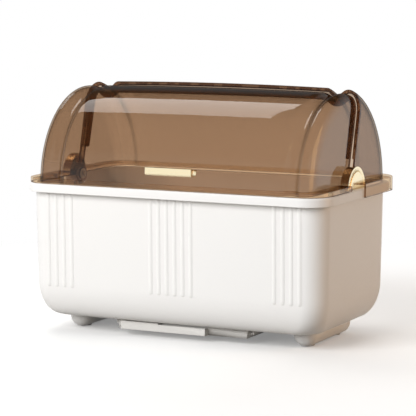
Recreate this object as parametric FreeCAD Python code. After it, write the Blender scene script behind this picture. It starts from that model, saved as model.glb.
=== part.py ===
"""Covered dish drying rack: tub, racks, drip tray and a barrel lid in two turning shells.

Millimetres, +Z up, +X to the right, front towards -Y. The origin is on the table
under the middle of the tub.
"""

import FreeCAD, Part
import math
import os

V = FreeCAD.Vector

# Rim: the outer edge of the tub, its level and its turned-down band
RIM_HALF_LENGTH = 235.0
RIM_HALF_DEPTH = 135.5
RIM_CORNER = 38.0
RIM_TOP = 216.0
RIM_BAND = 12.5
WALL = 2.5

# Tub body under the rim
BODY_HALF_LENGTH = 228.2
BODY_HALF_DEPTH = 124.0
BODY_CORNER = 30.0
BODY_DRAFT = math.radians(0.8)
BODY_BOTTOM = 23.6
ROUNDING_REACH = 22.0
ROUNDING_HEIGHT = 48.0
ROUNDING_STEPS = 7

# Flutes on the front and back of the tub
FLUTE_RADIUS = 5.0
FLUTE_PROUD = 1.1
FLUTE_PITCH = 12.5
FLUTE_TOP = 208.0
MIDDLE_FLUTES = [FLUTE_PITCH * (i - 2.5) for i in range(6)]
END_FLUTES = [158.0 + FLUTE_PITCH * i for i in range(4)]
FLUTE_FOOT = 70.0

# Runner feet and their pads
FOOT_X = 178.0
FOOT_RADIUS = 17.0
FOOT_HALF_LENGTH = 75.0
FOOT_BOTTOM = 0.2
PAD_RADIUS = 7.0
PAD_TOP = 2.5
PAD_Y = 45.0

# Screws: self-tapping, the same size all over
SCREW_RADIUS = 1.6
SCREW_CLEARANCE = 1.75
SCREW_HEAD_RADIUS = 3.2
SCREW_HEAD_HEIGHT = 2.0
BOSS_RADIUS = 5.0
BOSS_TOP = 34.0

# Drip tray and its rails
TRAY_HALF_LENGTH = 102.0
TRAY_FRONT = -88.0
TRAY_BACK = 80.0
TRAY_BOTTOM = 9.5
TRAY_TOP = 22.0
TRAY_WALL = 1.8
TRAY_FLANGE = (17.2, 19.0)
PULL_LEFT = -93.0
PULL_RIGHT = 41.0
PULL_PROUD = 10.0
PULL_TOP = 21.5
GRIP_TOP = 20.0
FINGER_GAP_LEFT = -33.0
RAIL_FRONT = -80.0
RAIL_BACK = 70.0
RAIL_SCREW_Y = (-60.0, 0.0, 60.0)
RAIL_SCREW_X = 113.5
RAIL_LEDGE = 102.6
RAIL_WEB = 106.6
RAIL_OUTER = 108.6
RAIL_EAR = 119.0
RAIL_LOW = 14.4
RAIL_LEDGE_TOP = 16.8
RAIL_EAR_LOW = 20.0

# Lid: both shells are crowned barrels about one axis, with a groove near each end.
# The radius is that of the barrel where its grooves start; the crown swells it in the middle.
AXIS_Y = 2.0
AXIS_Z = 217.0
LOBE_X = 200.0
GROOVE_X = 183.0
GROOVE_START_X = 167.0
FRONT_BARREL = {"radius": 131.5, "crown": 1.5, "groove": 9.0, "lobe_drop": 1.0, "end": (13.0, 24.0)}
REAR_BARREL = {"radius": 139.8, "crown": 2.2, "groove": 8.5, "lobe_drop": 1.5, "end": (20.0, 32.0)}
FRONT_TRAILING_ANGLE = 106.0
REAR_LEADING_ANGLE = 104.0
LIP_DEPTH = 8.0
LIP_ANGLE = 1.6
BEAD_DEPTH = 4.6
BEAD_ANGLE = 2.6
EAR_RADIUS = 14.0
FLANGE_TOP = 223.4
FLANGE_BOTTOM = 216.3
FRONT_FLANGE_INSET = 1.5
SKIRT_BOTTOM = 203.5
SKIRT_GAP = 0.3
SKIRT_REAR = 144.2
SKIRT_FRONT_EDGE = 9.0
BUMPER_X = 227.3
BUMPER_Y = (-50.0, -92.0)

# Pivots
PIN_RADIUS = 3.5
PIN_CLEARANCE = 0.05
BRACKET_RADIUS = 31.0
BRACKET_INNER = 221.9
BRACKET_OUTER = 226.8
LIP_INNER = 214.6
LIP_RADIUS = 28.0
TAB_OUTER = 223.9
TAB_HALF = 12.8
TAB_BOTTOM = 198.0
SEAT_INNER = 219.2
SEAT_BOTTOM = 195.0
BRACKET_SCREW_Z = 203.0
BRACKET_SCREW_Y = [AXIS_Y - 7.0, AXIS_Y + 7.0]
COVER_RADIUS = 24.0
COVER_OUTER = 227.6
COVER_SEAT = 225.8

# Handle bar, a little right of the middle
HANDLE_X = 4.0
HANDLE_HALF_LENGTH = 35.5
HANDLE_FRONT = -138.0
HANDLE_THICKNESS = 3.6
HANDLE_BOTTOM = 236.6
HANDLE_TOP = 248.1
HANDLE_CHAMFER = 2.0
HANDLE_FOOT = (28.0, 39.5)
HANDLE_SCREWS = [HANDLE_X - 32.5, HANDLE_X + 32.5]
HANDLE_ANGLE = 10.9
HANDLE_FOOT_TURN = 1.7
HANDLE_SEAT_RADIUS = FRONT_BARREL["radius"] + FRONT_BARREL["crown"]
HANDLE_WALL = WALL + 0.3

# Lift-out inserts
GRID_BOTTOM = 62.0
GRID_TOP = 65.0
GRID_HALF_LENGTH = 217.0
GRID_HALF_DEPTH = 117.5
GRID_CORNER = 26.0
GRID_SLOT_REACH = 98.0
GRID_SLOTS = 14
GRID_SLOT_WIDTH = 3.6
GRID_SLOT_PITCH = 14.0
FIN = 3.0
PLATE_PITCH = 24.0


def block(x0, x1, y0, y1, z0, z1):
    """A box between two corners."""
    low = V(min(x0, x1), min(y0, y1), min(z0, z1))
    return Part.makeBox(abs(x1 - x0), abs(y1 - y0), abs(z1 - z0), low)


def rod_z(x, y, z0, z1, radius):
    """An upright round rod."""
    return Part.makeCylinder(radius, z1 - z0, V(x, y, z0))


def rod_x(x0, x1, radius, y=AXIS_Y, z=AXIS_Z):
    """A round rod along X, on the lid axis unless told otherwise."""
    return Part.makeCylinder(radius, abs(x1 - x0), V(min(x0, x1), y, z), V(1, 0, 0))


def rounded_outline(half_x, half_y, radius, z):
    """A closed wire: a rectangle with round corners."""
    edges = []
    corners = [(1, -1, -90), (1, 1, 0), (-1, 1, 90), (-1, -1, 180)]
    for sx, sy, start in corners:
        centre = V(sx * (half_x - radius), sy * (half_y - radius), z)
        edges.append(Part.makeCircle(radius, centre, V(0, 0, 1), start, start + 90))
    joined = []
    for i, arc in enumerate(edges):
        nxt = edges[(i + 1) % 4]
        joined.append(arc)
        joined.append(Part.makeLine(arc.Vertexes[-1].Point, nxt.Vertexes[0].Point))
    return Part.Wire(joined)


def rounded_prism(half_x, half_y, radius, z0, z1):
    """An upright prism on a rounded rectangle."""
    face = Part.Face(rounded_outline(half_x, half_y, radius, z0))
    return face.extrude(V(0, 0, z1 - z0))


def level_edges(solid, z):
    """The edges of a solid that lie wholly at one level."""
    return [e for e in solid.Edges if abs(e.BoundBox.ZMin - z) < 1e-4 and abs(e.BoundBox.ZMax - z) < 1e-4]


def body_outline(inset, z, drawn_in=0.0):
    """The tub body's outline at a level; its corners keep their radius all the way down."""
    less = inset + drawn_in + (RIM_TOP - z) * math.tan(BODY_DRAFT)
    return rounded_outline(BODY_HALF_LENGTH - less, BODY_HALF_DEPTH - less, BODY_CORNER - inset, z)


def drafted_body(inset, bottom):
    """The tub's tapered body with its rounded bottom edge, drawn in by inset."""
    reach = ROUNDING_REACH - inset
    height = ROUNDING_HEIGHT - inset
    wall = Part.makeLoft([body_outline(inset, bottom + height), body_outline(inset, RIM_TOP)], True, True)
    sections = []
    for i in range(ROUNDING_STEPS):
        turn = math.pi / 2 * i / (ROUNDING_STEPS - 1)
        z = bottom + height * (1 - math.cos(turn))
        sections.append(body_outline(inset, z, reach * (1 - math.sin(turn))))
    return wall.fuse(Part.makeLoft(sections, True, False))


def fuse(shapes):
    """One solid from several that touch or overlap."""
    first = shapes[0]
    return first.multiFuse(shapes[1:]).removeSplitter() if len(shapes) > 1 else first


def save(name, shape):
    """Write one node, as a solid or a group of separate solids."""
    shape.exportStep(f"parts/{name}.step")
    print(f"{name:22s} solids {len(shape.Solids):2d} valid {shape.isValid()} volume {shape.Volume:10.1f}")


def both_sides(shape):
    """A shape on the right and its mirror image on the left."""
    return [shape, shape.mirror(V(0, 0, 0), V(1, 0, 0))]


# Tub


def flute(x, foot, side):
    """One upright half-round flute, following the draft and, near the ends, the corner."""
    corner_x = BODY_HALF_LENGTH - BODY_CORNER
    over = max(0.0, abs(x) - corner_x)
    turn = math.asin(over / BODY_CORNER)
    ends = []
    for z in (foot, FLUTE_TOP):
        drawn_in = (RIM_TOP - z) * math.tan(BODY_DRAFT)
        reach = BODY_CORNER - drawn_in - FLUTE_RADIUS + FLUTE_PROUD
        sign = 1.0 if x >= 0 else -1.0
        px = sign * (min(abs(x), corner_x) + reach * math.sin(turn))
        py = side * (BODY_HALF_DEPTH - BODY_CORNER + reach * math.cos(turn))
        ends.append(V(px, py, z))
    run = ends[1] - ends[0]
    bar = Part.makeCylinder(FLUTE_RADIUS, run.Length, ends[0], run)
    return bar.fuse(Part.makeSphere(FLUTE_RADIUS, ends[0]))


def boss(x, y):
    """A screw boss that stands on the tub floor, and its pilot hole."""
    outer = rod_z(x, y, BODY_BOTTOM + WALL / 2, BOSS_TOP, BOSS_RADIUS)
    pilot = rod_z(x, y, BODY_BOTTOM - 5, BOSS_TOP - 2, SCREW_RADIUS)
    return outer, pilot


def pivot_seat(sx):
    """A thick pad inside the end wall, which carries a hinge bracket and takes its tab."""
    half = BRACKET_RADIUS + 2.0
    outer = BODY_HALF_LENGTH - 1
    pad = block(sx * SEAT_INNER, sx * outer, AXIS_Y - half, AXIS_Y + half, SEAT_BOTTOM, RIM_TOP)
    return pad.common(tub_outside)


FOOT_SCREWS = [(sx * FOOT_X, sy * PAD_Y) for sx in (-1, 1) for sy in (-1, 1)]
RAIL_SCREWS = [(sx * RAIL_SCREW_X, y) for sx in (-1, 1) for y in RAIL_SCREW_Y]
tub_outside = drafted_body(0.0, BODY_BOTTOM)
tub_inside = drafted_body(WALL, BODY_BOTTOM + WALL)


def tub():
    rim = rounded_prism(RIM_HALF_LENGTH, RIM_HALF_DEPTH, RIM_CORNER, RIM_TOP - RIM_BAND, RIM_TOP)
    rim = rim.makeFillet(2.4, level_edges(rim, RIM_TOP))
    under_rim = rounded_prism(RIM_HALF_LENGTH - WALL, RIM_HALF_DEPTH - WALL, RIM_CORNER - WALL,
                              RIM_TOP - RIM_BAND, RIM_TOP - WALL)
    flutes = []
    for side in (-1, 1):
        flutes += [flute(x, FLUTE_FOOT, side) for x in MIDDLE_FLUTES]
        for x in END_FLUTES:
            flutes += [flute(x, FLUTE_FOOT, side), flute(-x, FLUTE_FOOT, side)]
    body = fuse([rim.cut(under_rim), tub_outside] + flutes)
    body = fuse([body.cut(tub_inside)] + [pivot_seat(sx) for sx in (-1, 1)])
    bosses = [boss(x, y) for x, y in FOOT_SCREWS + RAIL_SCREWS]
    body = fuse([body] + [b[0] for b in bosses])
    cuts = [b[1] for b in bosses]
    for x in range(-75, 76, 25):
        for y in (-40, 0, 40):
            slot = block(x - 2, x + 2, y - 8, y + 8, BODY_BOTTOM - 1, BODY_BOTTOM + WALL + 1)
            cuts.append(slot.fuse([rod_z(x, y - 8, BODY_BOTTOM - 1, BODY_BOTTOM + WALL + 1, 2.0),
                                   rod_z(x, y + 8, BODY_BOTTOM - 1, BODY_BOTTOM + WALL + 1, 2.0)]))
    tab_half = TAB_HALF + 0.2
    for sx in (-1, 1):
        cuts.append(block(sx * (BRACKET_INNER - 0.1), sx * (TAB_OUTER + 0.1), AXIS_Y - tab_half,
                          AXIS_Y + tab_half, TAB_BOTTOM - 0.5, RIM_TOP + 1))
        cuts.append(rod_x(sx * (SEAT_INNER - 1), sx * (TAB_OUTER + 0.1), PIN_RADIUS + 0.7))
        for y in BRACKET_SCREW_Y:
            cuts.append(rod_x(sx * (SEAT_INNER - 1), sx * BRACKET_INNER, SCREW_CLEARANCE, y, BRACKET_SCREW_Z))
    return body.cut(Part.makeCompound(cuts))


# Feet, pads and their screws


def foot(sx):
    level = FOOT_BOTTOM + FOOT_RADIUS
    straight = FOOT_HALF_LENGTH - FOOT_RADIUS
    runner = Part.makeCylinder(FOOT_RADIUS, 2 * straight, V(sx * FOOT_X, -straight, level), V(0, 1, 0))
    tips = [Part.makeSphere(FOOT_RADIUS, V(sx * FOOT_X, sy * straight, level)) for sy in (-1, 1)]
    runner = runner.fuse(tips)
    runner = runner.removeSplitter().cut(tub_outside)
    runner = max(runner.Solids, key=lambda s: s.Volume)
    for sy in (-1, 1):
        x, y = sx * FOOT_X, sy * PAD_Y
        runner = runner.cut(rod_z(x, y, -1, PAD_TOP, PAD_RADIUS))
        runner = runner.cut(rod_z(x, y, PAD_TOP - 1, PAD_TOP + SCREW_HEAD_HEIGHT, SCREW_HEAD_RADIUS))
        runner = runner.cut(rod_z(x, y, 0, BODY_BOTTOM + 1, SCREW_RADIUS))
    return runner


def upright_screw(x, y, head_z, top_z):
    """A screw that is driven upwards: its pan head below, its shank above."""
    head = rod_z(x, y, head_z, head_z + SCREW_HEAD_HEIGHT, SCREW_HEAD_RADIUS)
    head = head.makeFillet(0.8, level_edges(head, head_z))
    shank = rod_z(x, y, head_z + SCREW_HEAD_HEIGHT, top_z, SCREW_RADIUS)
    return fuse([head, shank])


# Drip tray and rails


def drip_tray():
    back, front = TRAY_BACK, TRAY_FRONT
    outer = block(-TRAY_HALF_LENGTH, TRAY_HALF_LENGTH, front, back, TRAY_BOTTOM, TRAY_TOP)
    upright = [e for e in outer.Edges if abs(e.BoundBox.ZMax - e.BoundBox.ZMin) > 1]
    outer = outer.makeFillet(2.0, upright)
    hollow = block(-TRAY_HALF_LENGTH + TRAY_WALL, TRAY_HALF_LENGTH - TRAY_WALL, front + TRAY_WALL,
                   back - TRAY_WALL, TRAY_BOTTOM + TRAY_WALL, TRAY_TOP + 1)
    low, high = TRAY_FLANGE
    edge = TRAY_HALF_LENGTH
    flanges = [block(sx * (edge - 1), sx * (RAIL_WEB - 0.4), front + 9, back - 2, low, high) for sx in (-1, 1)]
    proud = front - PULL_PROUD
    grip = block(PULL_LEFT, PULL_RIGHT, proud, front + 1, TRAY_BOTTOM, PULL_TOP)
    grip = grip.makeFillet(1.0, [e for e in grip.Edges if abs(e.BoundBox.YMax - proud) < 1e-4])
    # Its front is a little lower along the finger gap.
    grip = grip.cut(block(FINGER_GAP_LEFT, PULL_RIGHT + 1, proud - 1, front, GRIP_TOP, PULL_TOP + 1))
    finger_gap = block(FINGER_GAP_LEFT, PULL_RIGHT - TRAY_WALL, proud + TRAY_WALL, front,
                       TRAY_BOTTOM + TRAY_WALL, PULL_TOP + 1)
    # The long left part of the pull is hollow from below.
    relief = block(PULL_LEFT + TRAY_WALL, FINGER_GAP_LEFT - TRAY_WALL, proud + TRAY_WALL, front,
                   TRAY_BOTTOM - 1, PULL_TOP - TRAY_WALL)
    return fuse([outer, grip.cut(finger_gap).cut(relief)] + flanges).cut(hollow)


def tray_rail(sx):
    web = block(sx * RAIL_WEB, sx * RAIL_OUTER, RAIL_FRONT, RAIL_BACK, RAIL_LOW, BODY_BOTTOM + 3)
    ledge = block(sx * RAIL_LEDGE, sx * RAIL_WEB, RAIL_FRONT, RAIL_BACK, RAIL_LOW, RAIL_LEDGE_TOP)
    ears = [block(sx * RAIL_OUTER, sx * RAIL_EAR, y - 6, y + 6, RAIL_EAR_LOW, BODY_BOTTOM)
            for y in RAIL_SCREW_Y]
    rail = fuse([web, ledge] + ears).cut(tub_outside)
    holes = [rod_z(sx * RAIL_SCREW_X, y, RAIL_EAR_LOW - 1, BODY_BOTTOM + 1, SCREW_RADIUS) for y in RAIL_SCREW_Y]
    return rail.cut(Part.makeCompound(holes))


# Lid shells


def profile(barrel, inset, hub):
    """One barrel profile on the front side, drawn in by inset, from hub radius to hub radius.

    Returned as edges in order from the right hub over the barrel to the left hub.
    """
    radius, depth, drop = barrel["radius"], barrel["groove"], barrel["lobe_drop"]
    end_x, end_r = barrel["end"]

    def at(x, r):
        return V(x, AXIS_Y - r, AXIS_Z)

    def s_curve(run, rise):
        half_turn = math.atan(rise / run)
        return 2 * half_turn, (run / 2) / math.sin(2 * half_turn)

    def on_arc(x, centre_r, size, angle):
        return at(x + size * math.sin(angle), centre_r + size * math.cos(angle))

    def arc(start, middle, end):
        return Part.Arc(start, middle, end).toShape()

    steep, lobe_arc = s_curve(LOBE_X - GROOVE_X, depth - drop)
    gentle, barrel_arc = s_curve(GROOVE_X - GROOVE_START_X, depth)
    lobe_r = radius - drop
    groove_r = radius - depth
    lobe_mid = on_arc(LOBE_X, lobe_r - lobe_arc, lobe_arc - inset, -steep)
    barrel_mid = on_arc(GROOVE_START_X, radius - barrel_arc, barrel_arc - inset, gentle)
    right = [
        Part.makeLine(at(LOBE_X + end_x - inset, hub), at(LOBE_X + end_x - inset, lobe_r - end_r)),
        end_curve(LOBE_X, lobe_r - end_r, end_x - inset, end_r - inset),
        arc(at(LOBE_X, lobe_r - inset),
            on_arc(LOBE_X, lobe_r - lobe_arc, lobe_arc - inset, -steep / 2), lobe_mid),
        arc(lobe_mid, on_arc(GROOVE_X, groove_r + lobe_arc, -lobe_arc - inset, -steep / 2),
            at(GROOVE_X, groove_r - inset)),
        arc(at(GROOVE_X, groove_r - inset),
            on_arc(GROOVE_X, groove_r + barrel_arc, -barrel_arc - inset, gentle / 2), barrel_mid),
        arc(barrel_mid, on_arc(GROOVE_START_X, radius - barrel_arc, barrel_arc - inset, gentle / 2),
            at(GROOVE_START_X, radius - inset)),
    ]
    left = [e.mirror(V(0, 0, 0), V(1, 0, 0)) for e in reversed(right)]
    across = arc(at(GROOVE_START_X, radius - inset), at(0, radius + barrel["crown"] - inset),
                 at(-GROOVE_START_X, radius - inset))
    return right + [across] + left


def end_curve(x, r, size_x, size_r):
    """A quarter ellipse from the end wall up to the lobe's crest."""
    centre = V(x, AXIS_Y - r, AXIS_Z)
    along = V(x + size_x, AXIS_Y - r, AXIS_Z)
    crest = V(x, AXIS_Y - r - size_r, AXIS_Z)
    ellipse = Part.Ellipse(crest, along, centre)
    a, b = sorted((ellipse.parameter(along), ellipse.parameter(crest)))
    quarter = Part.Edge(ellipse, a, b)
    if quarter.Length > (size_x + size_r) * 1.5:
        quarter = Part.Edge(ellipse, b, a + 2 * math.pi)
    return quarter


def turned(face, start, end):
    """Turn a front-side profile about the lid axis, from one angle above the front to another."""
    face = face.copy()
    face.rotate(V(0, AXIS_Y, AXIS_Z), V(-1, 0, 0), start)
    return face.revolve(V(0, AXIS_Y, AXIS_Z), V(-1, 0, 0), end - start)


def band(barrel, outer, inner, hub):
    """The face between two profiles of one barrel."""
    outside = profile(barrel, outer, hub)
    inside = profile(barrel, inner, hub)
    end_x = LOBE_X + barrel["end"][0]
    x0, x1, y = end_x - outer, end_x - inner, AXIS_Y - hub
    joins = [Part.makeLine(V(s * x0, y, AXIS_Z), V(s * x1, y, AXIS_Z)) for s in (1, -1)]
    wire = Part.Wire(Part.__sortEdges__(outside + inside + joins))
    return Part.Face(wire)


def core(barrel, inset):
    """The whole space inside a barrel, as a solid of revolution."""
    end_x = LOBE_X + barrel["end"][0] - inset
    edges = profile(barrel, inset, 0.0)
    edges.append(Part.makeLine(V(-end_x, AXIS_Y, AXIS_Z), V(end_x, AXIS_Y, AXIS_Z)))
    return turned(Part.Face(Part.Wire(Part.__sortEdges__(edges))), 0, 360)


def front_lid():
    hole = PIN_RADIUS + PIN_CLEARANCE
    shell = turned(band(FRONT_BARREL, 0, WALL, hole), 0, FRONT_TRAILING_ANGLE)
    for x in HANDLE_SCREWS:
        shell = shell.cut(radial_rod(x, HANDLE_SEAT_RADIUS - 7, HANDLE_SEAT_RADIUS + 3, SCREW_CLEARANCE))
    lip = turned(band(FRONT_BARREL, WALL / 2, LIP_DEPTH, 40.0), FRONT_TRAILING_ANGLE - LIP_ANGLE,
                 FRONT_TRAILING_ANGLE)
    half_x = RIM_HALF_LENGTH - FRONT_FLANGE_INSET
    half_y = RIM_HALF_DEPTH - FRONT_FLANGE_INSET
    corner = RIM_CORNER - FRONT_FLANGE_INSET
    flange = rounded_prism(half_x, half_y, corner, FLANGE_BOTTOM, FLANGE_TOP)
    flange = flange.makeFillet(1.0, level_edges(flange, FLANGE_TOP))
    under = rounded_prism(half_x - WALL, half_y - WALL, corner - WALL, FLANGE_BOTTOM - 1, FLANGE_TOP - WALL)
    back = AXIS_Y - BRACKET_RADIUS - 1.0
    under = under.common(block(-300, 300, -200, back - WALL, 200, 230))
    flange = flange.common(block(-300, 300, -200, back, 200, 230)).cut(under)
    flange = flange.cut(core(FRONT_BARREL, WALL / 2))
    end_x = LOBE_X + FRONT_BARREL["end"][0]
    ears = [rod_x(sx * (end_x - WALL), sx * end_x, EAR_RADIUS) for sx in (-1, 1)]
    lid = fuse([shell, lip] + flange.Solids + ears)
    holes = [rod_x(sx * (end_x - WALL - 1), sx * (end_x + 1), hole) for sx in (-1, 1)]
    return lid.cut(Part.makeCompound(holes))


def rear_lid():
    shell = turned(band(REAR_BARREL, 0, WALL, PIN_RADIUS + 0.3), REAR_LEADING_ANGLE, 180)
    bead = turned(band(REAR_BARREL, WALL / 2, BEAD_DEPTH, 40.0), REAR_LEADING_ANGLE,
                  REAR_LEADING_ANGLE + BEAD_ANGLE)
    inner_x = RIM_HALF_LENGTH + SKIRT_GAP
    inner_y = SKIRT_REAR - WALL
    corner = RIM_CORNER + SKIRT_GAP
    flange = rounded_prism(inner_x + WALL, SKIRT_REAR, corner + WALL, SKIRT_BOTTOM, FLANGE_TOP)
    flange = flange.makeFillet(1.0, level_edges(flange, FLANGE_TOP))
    under = rounded_prism(inner_x, inner_y, corner, SKIRT_BOTTOM - 1, FLANGE_TOP - WALL)
    flange = flange.cut(under).common(block(-300, 300, SKIRT_FRONT_EDGE, 200, 200, 230))
    flange = flange.cut(core(REAR_BARREL, WALL / 2))
    for sx in (-1, 1):
        flange = flange.cut(rod_x(sx * 210, sx * (COVER_OUTER + 0.4), BRACKET_RADIUS + 0.6))
    flange = max(flange.Solids, key=lambda s: s.Volume)
    end_x = LOBE_X + REAR_BARREL["end"][0]
    above_rim = block(-300, 300, -50, 50, RIM_TOP + 0.3, 300)
    ears = [rod_x(sx * (end_x - WALL), sx * end_x, EAR_RADIUS).common(above_rim) for sx in (-1, 1)]
    lid = fuse([shell, bead, flange] + ears)
    return lid.cut(Part.makeCompound([rod_x(sx * 210, sx * 221, PIN_RADIUS + 0.3) for sx in (-1, 1)]))


# Handle


def radial_rod(x, r0, r1, radius):
    """A rod that stands square to the front shell at the handle's height."""
    t = math.radians(HANDLE_ANGLE)
    out = V(0, -math.cos(t), math.sin(t))
    return Part.makeCylinder(radius, r1 - r0, V(x, AXIS_Y, AXIS_Z) + out * r0, out)


def handle_bar():
    back = HANDLE_FRONT + HANDLE_THICKNESS
    left, right = HANDLE_X - HANDLE_HALF_LENGTH, HANDLE_X + HANDLE_HALF_LENGTH
    bar = block(left, right, HANDLE_FRONT, back, HANDLE_BOTTOM, HANDLE_TOP)
    front = [e for e in bar.Edges if abs(e.BoundBox.YMax - HANDLE_FRONT) < 1e-4]
    bar = bar.makeChamfer(HANDLE_CHAMFER, [e for e in front if e.BoundBox.ZMax < HANDLE_BOTTOM + 1])
    bar = bar.makeFillet(0.9, [e for e in level_edges(bar, HANDLE_TOP) if e.BoundBox.YMax < back - 1])
    pieces = [bar]
    outside = HANDLE_SEAT_RADIUS + 0.15
    near, far = HANDLE_FOOT
    for sx in (-1, 1):
        tip = HANDLE_X + sx * HANDLE_HALF_LENGTH
        leg = block(tip - sx * 5, tip, back - 0.5, -124, HANDLE_BOTTOM + 0.6, HANDLE_TOP - 1.6)
        start = HANDLE_X + min(sx * near, sx * far)
        foot_profile = Part.makePlane(far - near, 2.0, V(start, AXIS_Y - outside - 2.0, AXIS_Z), V(0, 0, 1))
        pieces += [leg, turned(foot_profile, HANDLE_ANGLE - HANDLE_FOOT_TURN, HANDLE_ANGLE + HANDLE_FOOT_TURN)]
    handle = fuse(pieces).cut(rod_x(-60, 60, outside))
    return handle.cut(Part.makeCompound([radial_rod(x, outside - 1, outside + 6.5, SCREW_RADIUS)
                                         for x in HANDLE_SCREWS]))


def handle_screw(x):
    inner = HANDLE_SEAT_RADIUS - HANDLE_WALL
    head = radial_rod(x, inner - 4.2, inner - 2.0, SCREW_HEAD_RADIUS)
    shank = radial_rod(x, inner - 2.2, HANDLE_SEAT_RADIUS + 6.0, SCREW_RADIUS)
    return fuse([head, shank])


def handle_washer(x):
    inner = HANDLE_SEAT_RADIUS - HANDLE_WALL
    disc = radial_rod(x, inner - 2.0, inner - 0.3, 4.4)
    return disc.cut(radial_rod(x, inner - 4, inner + 1, SCREW_RADIUS))


# Pivots


def hinge_bracket(sx):
    disc = rod_x(sx * BRACKET_INNER, sx * BRACKET_OUTER, BRACKET_RADIUS, AXIS_Y, RIM_TOP)
    disc = disc.common(block(sx * 200, sx * 240, -60, 60, RIM_TOP, 260))
    # A lip is turned in along the front quarter of the half-round.
    lip = rod_x(sx * LIP_INNER, sx * (BRACKET_INNER + 1), BRACKET_RADIUS, AXIS_Y, RIM_TOP)
    lip = lip.cut(rod_x(sx * LIP_INNER, sx * (BRACKET_INNER + 1), LIP_RADIUS, AXIS_Y, RIM_TOP))
    lip = lip.common(block(sx * 200, sx * 240, AXIS_Y - BRACKET_RADIUS, AXIS_Y - 4, RIM_TOP, 260))
    tab = block(sx * BRACKET_INNER, sx * TAB_OUTER, AXIS_Y - TAB_HALF, AXIS_Y + TAB_HALF, TAB_BOTTOM,
                RIM_TOP + 1)
    seat = rod_x(sx * COVER_SEAT, sx * (BRACKET_OUTER + 1), COVER_RADIUS + 0.1, AXIS_Y, RIM_TOP)
    seat = seat.common(block(sx * 200, sx * 240, -60, 60, RIM_TOP + 2.0, 260))
    bracket = fuse([disc, lip, tab]).cut(seat)
    bracket = bracket.cut(rod_x(sx * 220, sx * TAB_OUTER, PIN_RADIUS))
    for y in BRACKET_SCREW_Y:
        bracket = bracket.cut(rod_x(sx * 221, sx * (TAB_OUTER + 1), SCREW_RADIUS, y, BRACKET_SCREW_Z))
    return bracket


def hinge_cover(sx):
    disc = rod_x(sx * COVER_SEAT, sx * COVER_OUTER, COVER_RADIUS, AXIS_Y, RIM_TOP)
    disc = disc.common(block(sx * 200, sx * 240, -60, 60, RIM_TOP + 2.1, 260))
    face = [e for e in disc.Edges if abs(e.BoundBox.XMin - sx * COVER_OUTER) < 1e-4
            and abs(e.BoundBox.XMax - sx * COVER_OUTER) < 1e-4]
    return disc.makeFillet(0.5, face)


def hinge_pin(sx):
    pin = rod_x(sx * 206.4, sx * TAB_OUTER, PIN_RADIUS)
    neck = rod_x(sx * 207.6, sx * 208.6, PIN_RADIUS + 1).cut(rod_x(sx * 207.6, sx * 208.6, 2.5))
    return pin.cut(neck)


def sleeve(x0, x1, inner, outer):
    """A round sleeve on the lid axis."""
    return rod_x(x0, x1, outer).cut(rod_x(x0, x1, inner))


def pin_clip(sx):
    ring = sleeve(sx * 207.7, sx * 208.5, 2.55, 6.5)
    return ring.cut(block(sx * 207, sx * 209, AXIS_Y - 2.0, AXIS_Y + 2.0, AXIS_Z - 8, AXIS_Z))


def bracket_screw(sx, y):
    head = rod_x(sx * (SEAT_INNER - SCREW_HEAD_HEIGHT), sx * SEAT_INNER, SCREW_HEAD_RADIUS, y,
                 BRACKET_SCREW_Z)
    shank = rod_x(sx * (SEAT_INNER - 0.5), sx * TAB_OUTER, SCREW_RADIUS, y, BRACKET_SCREW_Z)
    return fuse([head, shank])


# Inserts


def drain_grid():
    plate = rounded_prism(GRID_HALF_LENGTH, GRID_HALF_DEPTH, GRID_CORNER, GRID_BOTTOM, GRID_TOP)
    plate = plate.makeFillet(1.0, level_edges(plate, GRID_TOP))
    slots = []
    for i in range(-GRID_SLOTS, GRID_SLOTS + 1):
        x = i * GRID_SLOT_PITCH
        for near, far in ((8.0, GRID_SLOT_REACH), (-GRID_SLOT_REACH, -8.0)):
            slots.append(block(x - GRID_SLOT_WIDTH / 2, x + GRID_SLOT_WIDTH / 2, near, far, GRID_BOTTOM - 1,
                               GRID_TOP + 1))
    plate = plate.cut(Part.makeCompound(slots))
    legs = [rod_z(sx * 147, sy * 70, BODY_BOTTOM + WALL, GRID_BOTTOM + 1, 5.0)
            for sx in (-1, 1) for sy in (-1, 1)]
    legs += [rod_z(0, sy * 70, BODY_BOTTOM + WALL, GRID_BOTTOM + 1, 5.0) for sy in (-1, 1)]
    return fuse([plate] + legs)


def fin_plate(x, y0, y1, z0, z1, crown):
    """An upright plate across the rack, with its two top corners rounded."""
    plate = block(x - FIN / 2, x + FIN / 2, y0, y1, z0, z1)
    top = [e for e in level_edges(plate, z1) if e.BoundBox.XMax - e.BoundBox.XMin > 1]
    return plate.makeFillet(crown, top)


def comb(x0, pitch, count, y0, y1, base, height, leg_to=None):
    """A rack: two rails along X, joined by upright fins, on legs where it is raised."""
    x1 = x0 + pitch * (count - 1)
    rails = [block(x0 - 5, x1 + 5, y, y + 8, base, base + 4) for y in (y0, y1 - 8)]
    fins = [fin_plate(x0 + i * pitch, y0, y1, base, base + height, 9.0) for i in range(count)]
    pieces = rails + fins
    if leg_to is not None:
        pieces += [block(x - 3, x + 3, y, y + 6, leg_to, base + 1)
                   for x in (x0, x1) for y in (y0 + 1, y1 - 7)]
    return fuse(pieces)


FRONT_PLATES = {"x0": -163.0, "pitch": PLATE_PITCH, "count": 8, "y0": -92.0, "y1": -34.0, "base": 104.0,
                "height": 30.0, "leg_to": GRID_TOP}
REAR_PLATES = {"x0": -163.0, "pitch": PLATE_PITCH, "count": 8, "y0": 12.0, "y1": 84.0, "base": GRID_TOP,
               "height": 42.0}
BOWLS = {"x0": 38.0, "pitch": 34.0, "count": 4, "y0": -92.0, "y1": -20.0, "base": GRID_TOP, "height": 36.0}

HOLDER = (149.0, 205.0, 8.0, 86.0)
HOLDER_TOP = 184.0


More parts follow.
